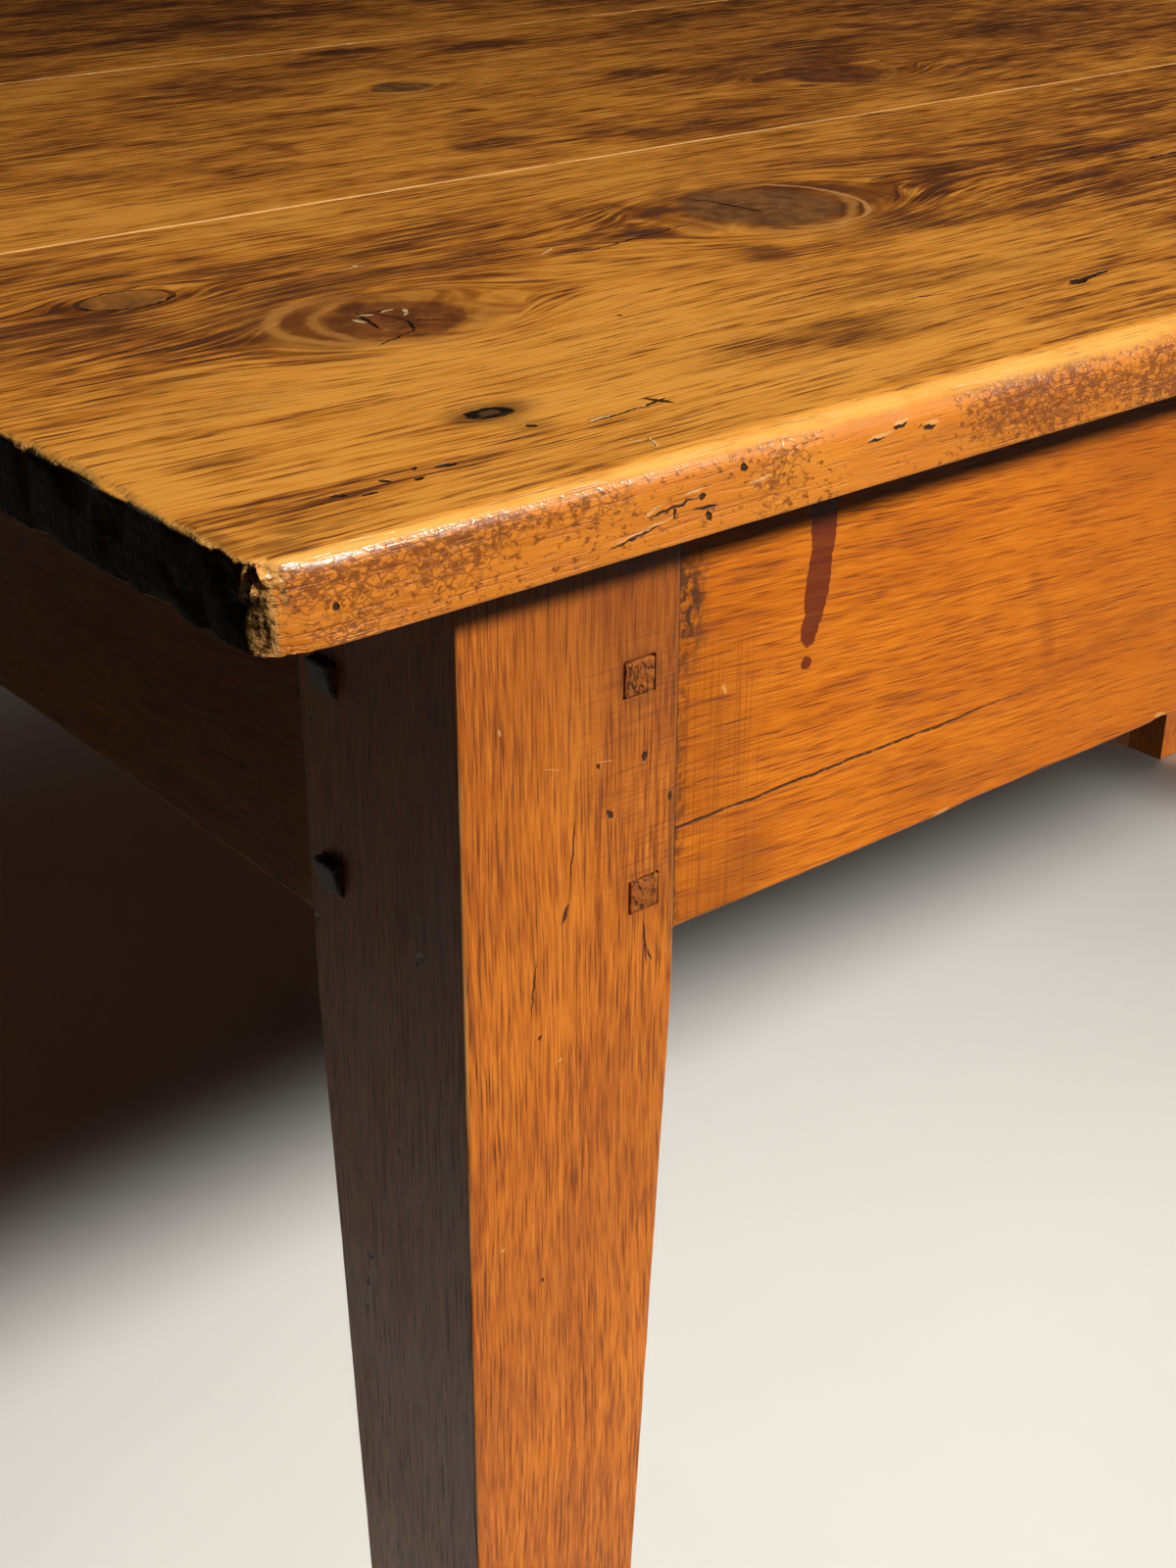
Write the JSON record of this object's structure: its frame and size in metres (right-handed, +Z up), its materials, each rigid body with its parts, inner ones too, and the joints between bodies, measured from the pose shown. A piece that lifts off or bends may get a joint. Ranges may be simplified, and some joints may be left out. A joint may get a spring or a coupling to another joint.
{
  "type": "dining table",
  "caption": "Farmhouse dining table: wide plank top on tapered square legs, aprons tenoned into the legs and held by square wooden pegs, top buttoned on from below.",
  "frame": {"origin": "on the floor, under the middle of the table top", "axes": "+X along the long side, +Y across the table from front to back, +Z up"},
  "size_m": [1.492, 0.8, 0.76],
  "materials": {
    "top_wood": "waxed, worn",
    "base_wood": "satin oiled, worn",
    "peg_wood": "worn end grain",
    "inner_wood": "sawn, unfinished",
    "screw_steel": "dull, aged"
  },
  "bodies": {
    "root": {"top_board_front": "top_wood", "top_board_middle": "top_wood", "top_board_back": "top_wood", "top_tongue_front": "inner_wood", "top_tongue_back": "inner_wood", "leg_front_left": "base_wood", "leg_front_right": "base_wood", "leg_back_left": "base_wood", "leg_back_right": "base_wood", "apron_front": "base_wood", "apron_back": "base_wood", "apron_left": "base_wood", "apron_right": "base_wood", "pegs_leg_front_left": "peg_wood", "pegs_leg_front_right": "peg_wood", "pegs_leg_back_left": "peg_wood", "pegs_leg_back_right": "peg_wood", "cross_bearer_left": "inner_wood", "cross_bearer_centre": "inner_wood", "cross_bearer_right": "inner_wood", "bearer_screws": "screw_steel", "buttons_front": "inner_wood", "buttons_back": "inner_wood", "buttons_left": "inner_wood", "buttons_right": "inner_wood", "button_screws": "screw_steel"}
  },
  "joints": []
}
